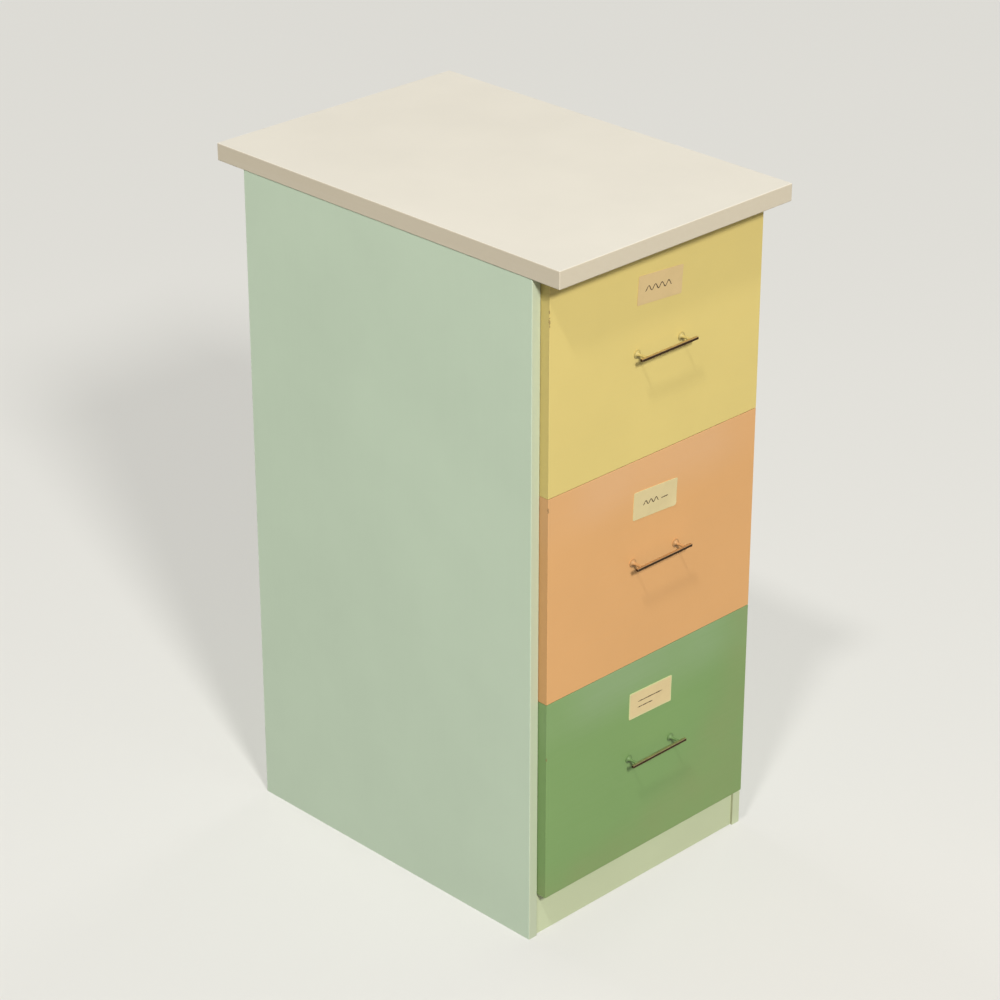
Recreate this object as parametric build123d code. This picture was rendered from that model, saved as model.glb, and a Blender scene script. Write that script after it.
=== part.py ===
from build123d import *
import os

# Carcass, in millimetres: X to the right, Y to the back, Z up, origin on the floor under the slab's centre
cabinet_height = 1000.0
slab_thickness = 25.0
slab_depth = 647.0
slab_side_lip = 1.0  # slab beyond the outer face of each side panel
slab_front_overhang = 48.0  # slab beyond the front edges of the side panels
slab_back_overhang = 53.0
slab_arris = 1.2
body_width = 433.0
side_thickness = 15.0
side_arris = 0.8
back_thickness = 6.0
back_rebate_width = 8.0  # how far the back panel is let into each side panel
back_floor_gap = 10.0
plinth_height = 70.0
plinth_thickness = 15.0
bottom_thickness = 15.0
rail_thickness = 15.0
rail_depth = 80.0

# Drawer fronts
front_thickness = 18.0
front_proud = 15.0  # face of the fronts ahead of the side panels
front_gap = 0.8  # above each front
front_side_gap = 0.8
front_plinth_lap = 3.0  # the lowest front hangs this far below the plinth's top edge
front_closing_gap = 0.5  # closed front to plinth
front_arris = 0.5

# Drawer boxes
box_board = 12.0
box_bottom_thickness = 6.0
box_bottom_lift = 8.0  # underside of the box bottom above the lower edges of the box
box_groove_depth = 5.0
box_lift = 16.0  # box above the lower edge of its front
box_head_room = 30.0  # box below the upper edge of its front
box_rear_clearance = 32.0
file_rail_inset = 10.3  # centre of a rail from the inside of the box, 333 mm apart for hanging folders
file_rail_thickness = 3.0
file_rail_height = 15.0

# Telescopic ball runners, three nested channels on each side
runner_thickness = 12.7
runner_height = 45.0
runner_gauge = 1.2
runner_setback = 2.0  # front ends of the channels behind the drawer front
runner_end_clearance = 5.0  # rear ends of the channels ahead of the box's back
runner_web_gap = 0.9  # past the screw heads and past the tips of the inner channel
running_gap = 0.3
drawer_travel = 490.0
stop_length = 6.0  # the tabs that end the travel, along the runner
stop_height = 6.0
stop_clearance = 2.5  # between a tab and the screw heads that pass it
ball_diameter = 3.2
race_depth = 0.5  # groove that the balls run in
balls_per_row = 5
cage_thickness = 0.8
cage_width = 4.6
cage_end = 8.0  # outermost balls from the ends of their cage
cage_end_clearance = 5.0  # cage to the ends of its channels, at both ends of the travel
cage_ball_gap = 0.15

# Handles and cards
handle_shift = 2.3  # handles sit this far right of the fronts' centre lines
handle_reach = 21.0
handle_lift = 2.1  # handles above the middle of the fronts
bar_length = 107.0
bar_depth = 4.4
bar_height = 3.8
bar_arris = 0.6
bar_overhang = 11.5  # past the centre of each post
post_base_diameter = 12.0
post_rim = 1.2  # straight edge round the foot
post_flare = 9.5  # end of the hollow curve, from the drawer front
card_shift = 1.6  # cards sit this far right of the fronts' centre lines
card_width = 84.0
card_height = 40.0
card_thickness = 0.6
upper_card_drop = 64.6  # centre of the card below the upper edge of its front
middle_card_drop = 68.5
lower_card_drop = 68.7
upper_card_tilt = 4.0  # degrees, right end down
middle_card_tilt = 3.0
lower_card_tilt = 1.3

# Fasteners
dowel_diameter = 6.0
dowel_length = 30.0
dowel_cover = 6.0  # wood left past a dowel in the side panel
dowel_inset = 20.0  # from the ends of a joint to its outermost dowels
bottom_dowels = 3  # in each end of the bottom panel
rail_dowels = 2  # in each end of a top rail
wood_screw_diameter = 3.5
wood_screw_head = 7.0
wood_screw_head_height = 1.8
wood_screw_tip_cover = 3.0  # wood left past the tip of a screw
screw_edge_inset = 40.0
top_screw_bite = 18.0  # into the slab
back_screw_bite = 28.0  # into the side panel's edge
back_screw_rows = 4
runner_screw_rows = 3
corner_screw_bite = 20.0  # into the end of a fore or rear board
handle_screw_diameter = 3.0
handle_screw_head = 6.0
handle_screw_head_height = 2.0
handle_screw_bite = 5.0  # in the foot of a post
hole_clearance = 0.1  # all round a dowel or a shank

# Places that follow from the sizes above
slab_bottom = cabinet_height - slab_thickness
slab_front = -slab_depth / 2
body_front = slab_front + slab_front_overhang
body_back = -slab_front - slab_back_overhang
back_face = body_back - back_thickness
inner_half = body_width / 2 - side_thickness
front_face = body_front - front_proud
front_back = front_face + front_thickness
plinth_face = front_back + front_closing_gap
bottom_underside = plinth_height - bottom_thickness
rail_underside = slab_bottom - rail_thickness
drawer_names = ("lower", "middle", "upper")
card_drops = (lower_card_drop, middle_card_drop, upper_card_drop)
card_tilts = (lower_card_tilt, middle_card_tilt, upper_card_tilt)
fronts_bottom = plinth_height - front_plinth_lap
front_pitch = (slab_bottom - fronts_bottom) / len(drawer_names)
front_height = front_pitch - front_gap
front_half = inner_half - front_side_gap
box_half = inner_half - runner_thickness
box_inner_half = box_half - box_board
box_back = back_face - box_rear_clearance
box_height = front_height - box_lift - box_head_room
fore_back = front_back + box_board
rear_front = box_back - box_board
runner_front = front_back + runner_setback
runner_back = box_back - runner_end_clearance
outer_half_height = runner_height / 2
race_gap = ball_diameter + 2 * running_gap - 2 * race_depth
intermediate_half_height = outer_half_height - runner_gauge - race_gap
inner_half_height = intermediate_half_height - runner_gauge - race_gap
outer_ball_height = intermediate_half_height + race_gap / 2
inner_ball_height = inner_half_height + race_gap / 2
stop_reach = wood_screw_head_height + runner_web_gap - running_gap
stop_offset = wood_screw_head / 2 + stop_clearance + stop_height / 2
intermediate_web = runner_gauge + wood_screw_head_height + runner_web_gap
inner_lip = intermediate_web + runner_gauge + runner_web_gap
outer_lip = runner_thickness - runner_gauge - running_gap
ball_line = (inner_lip + outer_lip) / 2
cage_front = runner_front + drawer_travel / 4 + cage_end_clearance
cage_back = runner_back - drawer_travel / 4 - cage_end_clearance
moving_stop = runner_back - stop_length
standing_stop = moving_stop - drawer_travel / 2 - running_gap - stop_length
bar_back = front_face - handle_reach + bar_depth
post_length = front_face - bar_back
dowel_bite = side_thickness - dowel_cover


def block(x, y, z):
    """A board between two limits on each axis."""
    limits = (x, y, z)
    centre = [(low + high) / 2 for low, high in limits]
    size = [abs(high - low) for low, high in limits]
    return Pos(*centre) * Box(*size)


def rod(diameter, start, end):
    """A round bar between two points."""
    run = Vector(*end) - Vector(*start)
    place = Plane(origin=start, z_dir=run)
    return place * Cylinder(diameter / 2, run.length, align=(Align.CENTER, Align.CENTER, Align.MIN))


def along(point, direction, distance):
    """The point that lies a distance from another, in a direction along one axis."""
    return tuple(p + d * distance for p, d in zip(point, direction))


def screw(seat, direction, length, diameter, head, head_height):
    """A pan head screw whose head rests on the seat and whose shank runs along the direction."""
    shank = rod(diameter, seat, along(seat, direction, length))
    return shank + rod(head, along(seat, direction, -head_height), seat)


def wood_screw(fixing):
    """The wood screw of one fixing, which is its seat, direction and length."""
    seat, direction, length = fixing
    return screw(seat, direction, length, wood_screw_diameter, wood_screw_head, wood_screw_head_height)


def wood_screw_hole(fixing):
    """The hole that a wood screw's shank runs in."""
    seat, direction, length = fixing
    start = along(seat, direction, -hole_clearance)
    end = along(seat, direction, length + hole_clearance)
    return rod(wood_screw_diameter + 2 * hole_clearance, start, end)


def drilled(board, holes):
    """A board with its holes cut."""
    for hole in holes:
        board = board - hole
    return board


def group(pieces):
    """Like pieces that share one node, each a solid of its own."""
    return Compound([piece.solid() for piece in pieces])


def spread(low, high, count):
    """Evenly spaced places from low to high, both ends included."""
    return [low + (high - low) * step / (count - 1) for step in range(count)]


# Carcass fixings

def dowel_places():
    """Where the dowels of the right side panel's joints lie, as Y and Z."""
    bottom_z = (bottom_underside + plinth_height) / 2
    rail_z = (rail_underside + slab_bottom) / 2
    bottom_front = plinth_face + plinth_thickness
    bottom_row = spread(bottom_front + dowel_inset, back_face - dowel_inset, bottom_dowels)
    places = [(y, bottom_z) for y in bottom_row]
    for start in (plinth_face, back_face - rail_depth):
        rail_row = spread(start + dowel_inset, start + rail_depth - dowel_inset, rail_dowels)
        places += [(y, rail_z) for y in rail_row]
    for start, top in ((plinth_face, plinth_height), (back_face - plinth_thickness, bottom_underside)):
        centre = start + plinth_thickness / 2
        places += [(centre, top / 3), (centre, 2 * top / 3)]
    return places


def dowels(side, clearance=0.0):
    """The dowels of one side panel, or their holes where a clearance is given."""
    start = side * (inner_half + dowel_bite + clearance)
    end = side * (inner_half + dowel_bite - dowel_length - clearance)
    return [rod(dowel_diameter + 2 * clearance, (start, y, z), (end, y, z)) for y, z in dowel_places()]


def dowel_holes():
    """The dowel holes of both side panels."""
    return dowels(-1, hole_clearance) + dowels(1, hole_clearance)


def top_fixings():
    """Screws up through the top rails into the slab."""
    length = rail_thickness + top_screw_bite
    rail_centres = (plinth_face + rail_depth / 2, back_face - rail_depth / 2)
    x = inner_half - screw_edge_inset
    return [((side * x, y, rail_underside), (0, 0, 1), length) for side in (-1, 1) for y in rail_centres]


def back_fixings():
    """Screws through the back panel into the rebates of the side panels."""
    length = back_thickness + back_screw_bite
    x = inner_half + back_rebate_width / 2
    heights = spread(back_floor_gap + screw_edge_inset, slab_bottom - screw_edge_inset, back_screw_rows)
    return [((side * x, body_back, z), (0, -1, 0), length) for side in (-1, 1) for z in heights]


def runner_level(index):
    """Height of the centre line of a drawer's runners, half way up its box."""
    return box_bottom_edge(index) + box_height / 2


def runner_screw_places():
    """Distances from the front at which each channel is screwed down."""
    return spread(runner_front + screw_edge_inset, runner_back - screw_edge_inset, runner_screw_rows)


def runner_outer_fixings(index):
    """Screws through a drawer's outer channels into the side panels."""
    length = runner_gauge + side_thickness - wood_screw_tip_cover
    x = inner_half - runner_gauge
    level = runner_level(index)
    return [((side * x, y, level), (side, 0, 0), length) for side in (-1, 1) for y in runner_screw_places()]


def all_runner_outer_fixings():
    """The outer channels' screws of every drawer."""
    return [fixing for index in range(len(drawer_names)) for fixing in runner_outer_fixings(index)]


# Carcass pieces

def top_slab():
    """The slab, with softened edges and the pilot holes of its screws."""
    half_width = body_width / 2 + slab_side_lip
    board = block((-half_width, half_width), (slab_front, -slab_front), (slab_bottom, cabinet_height))
    board = fillet(board.edges(), slab_arris)
    return drilled(board, [wood_screw_hole(fixing) for fixing in top_fixings()])


def side_panel(side):
    """A side panel that reaches the floor, rebated for the back panel."""
    across = (side * inner_half, side * body_width / 2)
    panel = block(across, (body_front, body_back), (0, slab_bottom))
    front_edges = panel.edges().filter_by(Axis.Z).group_by(Axis.Y)[0]
    panel = fillet(front_edges, side_arris)
    rebate = (side * inner_half, side * (inner_half + back_rebate_width))
    panel = panel - block(rebate, (back_face, body_back), (0, slab_bottom))
    fixings = back_fixings() + all_runner_outer_fixings()
    own = [fixing for fixing in fixings if fixing[0][0] * side > 0]
    return drilled(panel, dowels(side, hole_clearance) + [wood_screw_hole(fixing) for fixing in own])


def back_panel():
    """The thin back, let into the side panels."""
    half_width = inner_half + back_rebate_width - hole_clearance
    board = block((-half_width, half_width), (back_face, body_back), (back_floor_gap, slab_bottom))
    return drilled(board, [wood_screw_hole(fixing) for fixing in back_fixings()])


def bottom_panel():
    """The board under the lowest drawer, behind the front plinth and over the rear one."""
    depth = (plinth_face + plinth_thickness, back_face)
    board = block((-inner_half, inner_half), depth, (bottom_underside, plinth_height))
    return drilled(board, dowel_holes())


def plinth(front, top):
    """A plinth board on the floor between the side panels."""
    board = block((-inner_half, inner_half), (front, front + plinth_thickness), (0, top))
    return drilled(board, dowel_holes())


def top_rail(front):
    """A stretcher under the slab."""
    board = block((-inner_half, inner_half), (front, front + rail_depth), (rail_underside, slab_bottom))
    return drilled(board, dowel_holes() + [wood_screw_hole(fixing) for fixing in top_fixings()])


# Runners

def ball_rows(index, ball_height):
    """Heights of the upper and lower row of balls between two channels."""
    return (runner_level(index) - ball_height, runner_level(index) + ball_height)


def race_grooves(index, side):
    """The grooves that every row of balls on one side of a drawer runs in."""
    x = side * (inner_half - ball_line)
    diameter = ball_diameter + 2 * running_gap
    rows = ball_rows(index, outer_ball_height) + ball_rows(index, inner_ball_height)
    return [rod(diameter, (x, runner_front, z), (x, runner_back, z)) for z in rows]


def ball_cage(side, z):
    """A strip with a row of holes, and a ball in each."""
    x = side * (inner_half - ball_line)
    across = (x - cage_width / 2, x + cage_width / 2)
    strip = block(across, (cage_front, cage_back), (z - cage_thickness / 2, z + cage_thickness / 2))
    places = spread(cage_front + cage_end, cage_back - cage_end, balls_per_row)
    hole = ball_diameter + 2 * cage_ball_gap
    holes = [rod(hole, (x, y, z - cage_thickness), (x, y, z + cage_thickness)) for y in places]
    return [drilled(strip, holes)] + [Pos(x, y, z) * Sphere(ball_diameter / 2) for y in places]


def ball_cages(index, ball_height):
    """The cages and balls between two channels, on both sides of a drawer."""
    pieces = []
    for side in (-1, 1):
        for z in ball_rows(index, ball_height):
            pieces += ball_cage(side, z)
    return group(pieces)


def channel(side, web, lip, half_height, level):
    """One steel channel. The web and the lips lie at distances from the side panel's inner face."""
    turn = 1 if lip > web else -1
    inside = web + turn * runner_gauge
    depth = (runner_front, runner_back)
    clear = half_height - runner_gauge
    outside_x = (side * (inner_half - web), side * (inner_half - lip))
    hollow_x = (side * (inner_half - inside), side * (inner_half - lip))
    whole = block(outside_x, depth, (level - half_height, level + half_height))
    return whole - block(hollow_x, depth, (level - clear, level + clear))


def stop_tab(side, root, tip, front, height):
    """A tab that stands out of a web, between two distances from the side panel's inner face."""
    across = (side * (inner_half - root), side * (inner_half - tip))
    return block(across, (front, front + stop_length), (height - stop_height / 2, height + stop_height / 2))


def runner_outer(index, side):
    """The channel on a side panel, with the tab that halts the intermediate channel."""
    level = runner_level(index)
    piece = channel(side, 0, outer_lip, outer_half_height, level)
    tip = runner_gauge + stop_reach
    piece = piece + stop_tab(side, runner_gauge, tip, standing_stop, level + stop_offset)
    holes = [wood_screw_hole(fixing) for fixing in runner_outer_fixings(index)]
    return drilled(piece, holes + race_grooves(index, side))


def runner_intermediate(index, side):
    """The channel between the other two, with a tab on each face of its web."""
    level = runner_level(index)
    web = intermediate_web
    face = web + runner_gauge
    piece = channel(side, web, outer_lip, intermediate_half_height, level)
    piece = piece + stop_tab(side, web, web - stop_reach, moving_stop, level + stop_offset)
    piece = piece + stop_tab(side, face, face + stop_reach, standing_stop, level - stop_offset)
    return drilled(piece, race_grooves(index, side))


def runner_inner(index, side):
    """The channel on a box side, with the tab that halts it on the intermediate channel."""
    level = runner_level(index)
    face = runner_thickness - runner_gauge
    tip = intermediate_web + runner_gauge + running_gap
    piece = channel(side, runner_thickness, inner_lip, inner_half_height, level)
    piece = piece + stop_tab(side, face, tip, moving_stop, level - stop_offset)
    holes = [wood_screw_hole(fixing) for fixing in runner_inner_fixings(index)]
    return drilled(piece, holes + race_grooves(index, side))


def runner_outers():
    """The channels on the side panels, for every drawer."""
    return group([runner_outer(index, side) for index in range(len(drawer_names)) for side in (-1, 1)])


def pair(channel_maker, index):
    """The left and right channels of one kind."""
    return group([channel_maker(index, side) for side in (-1, 1)])


# Drawer places and fixings

def front_bottom_edge(index):
    """Height of the lower edge of a drawer front."""
    return fronts_bottom + index * front_pitch


def handle_level(index):
    """Height of a drawer's handle."""
    return front_bottom_edge(index) + front_height / 2 + handle_lift


def box_bottom_edge(index):
    """Height of the lower edges of a drawer's box."""
    return front_bottom_edge(index) + box_lift


def box_top_edge(index):
    """Height of the upper edges of a drawer's box."""
    return box_bottom_edge(index) + box_height


def box_screw_heights(index):
    """Heights of the screws at the corners of the box and in its front."""
    return (box_bottom_edge(index) + screw_edge_inset, box_top_edge(index) - screw_edge_inset)


def runner_inner_fixings(index):
    """Screws through a drawer's inner channels into the box sides."""
    length = runner_gauge + box_board - wood_screw_tip_cover
    x = box_half + runner_gauge
    level = runner_level(index)
    return [((side * x, y, level), (-side, 0, 0), length) for side in (-1, 1) for y in runner_screw_places()]


def front_fixings(index):
    """Screws from inside the box into the drawer front."""
    length = box_board + front_thickness - wood_screw_tip_cover
    x = box_inner_half - screw_edge_inset
    heights = box_screw_heights(index)
    return [((side * x, fore_back, z), (0, -1, 0), length) for side in (-1, 1) for z in heights]


def corner_fixings(index):
    """Screws through the box sides into the ends of the fore and rear boards."""
    length = box_board + corner_screw_bite
    ends = (front_back + box_board / 2, box_back - box_board / 2)
    heights = box_screw_heights(index)
    return [
        ((side * box_half, y, z), (-side, 0, 0), length)
        for side in (-1, 1)
        for y in ends
        for z in heights
    ]


def box_fixings(index):
    """Every wood screw of a drawer."""
    return runner_inner_fixings(index) + front_fixings(index) + corner_fixings(index)


def box_screw_holes(index):
    """The holes of every wood screw of a drawer."""
    return [wood_screw_hole(fixing) for fixing in box_fixings(index)]


def post_places():
    """Distances of the two handle posts from the cabinet's centre line."""
    reach = bar_length / 2 - bar_overhang
    return (handle_shift - reach, handle_shift + reach)


def handle_screw_holes(index):
    """The holes of the handle's screws, through the box and the front into the posts."""
    z = handle_level(index)
    diameter = handle_screw_diameter + 2 * hole_clearance
    tip = front_face - handle_screw_bite - hole_clearance
    return [rod(diameter, (x, fore_back + hole_clearance, z), (x, tip, z)) for x in post_places()]


# Drawer pieces

def drawer_front(index):
    """The painted front, with softened edges round its face."""
    low = front_bottom_edge(index)
    board = block((-front_half, front_half), (front_face, front_back), (low, low + front_height))
    face_edges = board.faces().sort_by(Axis.Y)[0].edges()
    board = fillet(face_edges, front_arris)
    return drilled(board, box_screw_holes(index) + handle_screw_holes(index))


def box_panel(index):
    """The bottom of the box, as it sits in the grooves."""
    reach = box_groove_depth - hole_clearance
    underside = box_bottom_edge(index) + box_bottom_lift
    half_width = box_inner_half + reach
    return block(
        (-half_width, half_width),
        (fore_back - reach, rear_front + reach),
        (underside, underside + box_bottom_thickness),
    )


def box_groove(index):
    """The groove round the inside of the box that holds its bottom."""
    underside = box_bottom_edge(index) + box_bottom_lift
    half_width = box_inner_half + box_groove_depth
    return block(
        (-half_width, half_width),
        (fore_back - box_groove_depth, rear_front + box_groove_depth),
        (underside, underside + box_bottom_thickness + hole_clearance),
    )


def file_rail(index, side):
    """A steel strip on edge, flush with the top of the box, that folders hook over."""
    top = box_top_edge(index)
    centre = side * (box_inner_half - file_rail_inset)
    across = (centre - file_rail_thickness / 2, centre + file_rail_thickness / 2)
    return block(across, (front_back, box_back), (top - file_rail_height, top))


def file_rail_notch(index, side):
    """The slot that a file rail drops into."""
    top = box_top_edge(index)
    centre = side * (box_inner_half - file_rail_inset)
    half = file_rail_thickness / 2 + hole_clearance
    return block((centre - half, centre + half), (front_back, box_back), (top - file_rail_height, top))


def box_side(index, side):
    """A side of the box, grooved for its bottom."""
    heights = (box_bottom_edge(index), box_top_edge(index))
    board = block((side * box_inner_half, side * box_half), (front_back, box_back), heights)
    return drilled(board, [box_groove(index)] + box_screw_holes(index))


def box_end(index, front):
    """The fore or rear board of the box, grooved for its bottom and notched for the file rails."""
    heights = (box_bottom_edge(index), box_top_edge(index))
    board = block((-box_inner_half, box_inner_half), (front, front + box_board), heights)
    notches = [file_rail_notch(index, side) for side in (-1, 1)]
    return drilled(board, [box_groove(index)] + notches + box_screw_holes(index) + handle_screw_holes(index))


def handle_bar(index):
    """The flat bar of the pull."""
    z = handle_level(index)
    across = (handle_shift - bar_length / 2, handle_shift + bar_length / 2)
    bar = block(across, (bar_back - bar_depth, bar_back), (z - bar_height / 2, z + bar_height / 2))
    return fillet(bar.edges(), bar_arris)


def handle_post(index, x):
    """A turned post that flares in a hollow curve to its foot on the drawer front."""
    foot, neck = post_base_diameter / 2, bar_height / 2
    sides = [(neck, post_flare), (neck, post_length), (0, post_length), (0, 0), (foot, 0), (foot, post_rim)]
    hollow = Bezier((foot, post_rim), (neck, post_rim), (neck, post_flare))
    turned = revolve(make_face(Polyline(*sides).edges() + hollow.edges()), Axis.Y)
    post = Plane(origin=(x, front_face, handle_level(index)), x_dir=(1, 0, 0), z_dir=(0, 0, -1)) * turned
    return drilled(post, handle_screw_holes(index))


def handle_screw(index, x):
    """A machine screw from inside the box into a post."""
    length = fore_back - front_face + handle_screw_bite
    seat = (x, fore_back, handle_level(index))
    sizes = (handle_screw_diameter, handle_screw_head, handle_screw_head_height)
    return screw(seat, (0, -1, 0), length, *sizes)


def label_card(index):
    """The card on the drawer front, a little askew."""
    z = front_bottom_edge(index) + front_height - card_drops[index]
    place = Pos(card_shift, front_face - card_thickness / 2, z) * Rot(0, card_tilts[index], 0)
    return place * Box(card_width, card_thickness, card_height)


def carcass():
    """The pieces that stand still, by node name."""
    fixings = top_fixings() + back_fixings() + all_runner_outer_fixings()
    return {
        "top_slab": top_slab(),
        "side_panel_left": side_panel(-1),
        "side_panel_right": side_panel(1),
        "back_panel": back_panel(),
        "bottom_panel": bottom_panel(),
        "plinth_front": plinth(plinth_face, plinth_height),
        "plinth_rear": plinth(back_face - plinth_thickness, bottom_underside),
        "top_rail_front": top_rail(plinth_face),
        "top_rail_rear": top_rail(back_face - rail_depth),
        "carcass_screws": group([wood_screw(fixing) for fixing in fixings]),
        "carcass_dowels": group(dowels(-1) + dowels(1)),
        "runner_outers": runner_outers(),
    }


def drawer(index):
    """The pieces of one drawer and of its runners, by the ends of their node names."""
    return {
        "drawer_front": drawer_front(index),
        "box_left": box_side(index, -1),
        "box_right": box_side(index, 1),
        "box_fore": box_end(index, front_back),
        "box_rear": box_end(index, rear_front),
        "box_bottom": box_panel(index),
        "box_screws": group([wood_screw(fixing) for fixing in box_fixings(index)]),
        "file_rails": group([file_rail(index, side) for side in (-1, 1)]),
        "handle_bar": handle_bar(index),
        "handle_posts": group([handle_post(index, x) for x in post_places()]),
        "handle_screws": group([handle_screw(index, x) for x in post_places()]),
        "label_card": label_card(index),
        "runner_inners": pair(runner_inner, index),
        "runner_intermediates": pair(runner_intermediate, index),
        "outer_ball_cages": ball_cages(index, outer_ball_height),
        "inner_ball_cages": ball_cages(index, inner_ball_height),
    }


os.makedirs("parts", exist_ok=True)
nodes = carcass()
for index, name in enumerate(drawer_names):
    for ending, piece in drawer(index).items():
        nodes[name + "_" + ending] = piece
for node, piece in nodes.items():
    export_step(piece, "parts/" + node + ".step")
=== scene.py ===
"""Looks of a painted wooden filing cabinet with three drawers, built around its construction model."""

import math

import bmesh
import bpy
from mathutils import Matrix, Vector


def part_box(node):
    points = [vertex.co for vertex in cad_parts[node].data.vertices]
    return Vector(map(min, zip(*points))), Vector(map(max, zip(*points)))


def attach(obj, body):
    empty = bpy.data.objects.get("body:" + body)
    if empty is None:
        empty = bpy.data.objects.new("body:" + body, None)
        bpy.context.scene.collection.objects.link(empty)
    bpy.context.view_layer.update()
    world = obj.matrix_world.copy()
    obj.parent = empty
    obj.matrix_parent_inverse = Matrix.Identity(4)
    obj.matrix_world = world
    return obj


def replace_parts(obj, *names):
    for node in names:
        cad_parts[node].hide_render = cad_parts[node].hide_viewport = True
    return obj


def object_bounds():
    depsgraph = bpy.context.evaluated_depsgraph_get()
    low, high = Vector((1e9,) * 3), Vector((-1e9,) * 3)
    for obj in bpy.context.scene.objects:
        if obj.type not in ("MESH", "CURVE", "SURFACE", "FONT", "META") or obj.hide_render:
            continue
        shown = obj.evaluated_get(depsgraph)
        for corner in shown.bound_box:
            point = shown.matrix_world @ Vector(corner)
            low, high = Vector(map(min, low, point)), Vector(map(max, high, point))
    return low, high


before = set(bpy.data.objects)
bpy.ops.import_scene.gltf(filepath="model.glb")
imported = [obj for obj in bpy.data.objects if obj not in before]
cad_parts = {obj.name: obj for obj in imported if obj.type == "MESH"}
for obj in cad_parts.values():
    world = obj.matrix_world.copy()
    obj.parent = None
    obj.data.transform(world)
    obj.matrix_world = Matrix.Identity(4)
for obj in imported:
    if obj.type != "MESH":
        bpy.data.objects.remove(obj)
cad_low, cad_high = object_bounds()

bl_info = {
    "name": "Painted Filing Cabinet",
    "version": (1, 0, 0),
    "blender": (4, 5, 0),
    "location": "3D View > Sidebar > Cabinet",
    "description": "Finishes for a painted wooden filing cabinet with three file drawers",
    "category": "Object",
}

MM = 0.001
AXES = "XYZ"
DRAWERS = ("upper", "middle", "lower")
SAME_PLANE = 0.1 * MM  # points this close lie in one face of the construction
SAME_POINT = 0.001 * MM  # points this close are one

# Rings of a screw's domed head, as shares of its radius and its depth.
SCREW_DOME = ((0.66, 0.03), (0.85, 0.16), (0.96, 0.42), (1.0, 0.75), (1.0, 1.0))

# Each lamp's azimuth and elevation in degrees, its width in metres, and whether gloss shows it.
LAMPS = {
    "key": (-26, 36, 1.7, True),
    "high": (-60, 59, 0.9, True),
    "left": (-110, 8, 4.5, False),
    "right": (98, 8, 4.5, False),
    "back": (178, 8, 4.5, False),
}


def linear(code):
    """The linear colour of an sRGB hex value."""
    shares = [int(code[start:start + 2], 16) / 255 for start in (0, 2, 4)]
    return tuple(s / 12.92 if s <= 0.04045 else ((s + 0.055) / 1.055) ** 2.4 for s in shares)


def scaled(colour, share):
    """A colour made lighter or darker."""
    return tuple(min(1.0, value * share) for value in colour[:3])


def tinted(colour, red, green, blue):
    """A colour with each of its parts made stronger or weaker."""
    return (colour[0] * red, colour[1] * green, colour[2] * blue)


def colour_property(name, code, description):
    """A colour that a user can change."""
    return bpy.props.FloatVectorProperty(
        name=name, description=description, subtype="COLOR", size=3, min=0.0, max=1.0, default=linear(code)
    )


def length_property(name, millimetres, description):
    """A length that a user can change."""
    return bpy.props.FloatProperty(
        name=name, description=description, default=millimetres * MM, min=0.0, precision=5, unit="LENGTH"
    )


def angle_property(name, degrees, description):
    """An angle that a user can change."""
    return bpy.props.FloatProperty(
        name=name, description=description, default=math.radians(degrees), subtype="ANGLE"
    )


def power_property(name, watts, description):
    """A lamp's power that a user can change."""
    return bpy.props.FloatProperty(name=name, description=description, default=watts, min=0.0, unit="POWER")


class CabinetColours(bpy.types.PropertyGroup):
    """Colours of the paints and bare materials"""

    cream: colour_property("Slab cream", "dbd5c7", "Paint on the face of the slab")
    cream_edge: colour_property("Slab edge", "d3c7af", "Warmer cream on the slab's edges")
    mint: colour_property("Mint", "cbdcc2", "Paint on the carcass")
    # Mint edge and plinth mint are yellower than the mint, a painted warm light.
    mint_edge: colour_property("Mint edge", "c4ccae", "Warm lit mint on the left panel's edges")
    plinth: colour_property("Plinth mint", "d0d8b0", "Warm lit mint on the plinth and right panel edges")
    upper: colour_property("Straw yellow", "e0ca7b", "Paint on the upper drawer")
    middle: colour_property("Soft orange", "e1ab6f", "Paint on the middle drawer")
    lower: colour_property("Leaf green", "7fa061", "Paint on the lower drawer")
    # The bare board is toned dark, a painted shade for the joint beside the plinth.
    board: colour_property("Bare board", "a8a681", "Inner faces of the side panels, which are left unpainted")
    primer: colour_property("Under paint", "86683c", "Board that shows where paint has chipped off")
    soil: colour_property("Soil", "9c8c66", "Grime that hands leave near the edges of a front")
    birch: colour_property("Birch", "d9be92", "Face veneer of the drawer boxes")
    birch_dark: colour_property("Birch end grain", "a9854f", "Cross plies on the edges of the plywood")
    beech: colour_property("Beech", "c79f70", "Dowels")
    zinc: colour_property("Zinc", "a4a8aa", "Plating on the runners, rails and screws")
    steel: colour_property("Bright steel", "c6c8ca", "Ball cages and balls")
    bronze: colour_property("Dark bronze", "432e18", "Handle bars")
    # The rubbed colour is real wear on the arrises and a painted highlight on the bars' upper faces.
    bronze_rubbed_and_highlight: colour_property("Rubbed bronze", "e8d0b0", "Handle bars where hands have rubbed them")
    upper_card: colour_property("Upper card", "dfc28c", "Card of the upper drawer")
    middle_card: colour_property("Middle card", "ddcb98", "Card of the middle drawer")
    lower_card: colour_property("Lower card", "e2cb98", "Card of the lower drawer")
    rim: colour_property("Card rim", "d6da9e", "Edges of the cards, where the stock has bleached")
    ink: colour_property("Ink", "3c2a14", "Pen strokes on the cards")
    floor: colour_property("Floor", "e6e4de", "Studio floor")
    wall: colour_property("Wall", "e0dfda", "Backdrop that the floor fades into")


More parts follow.
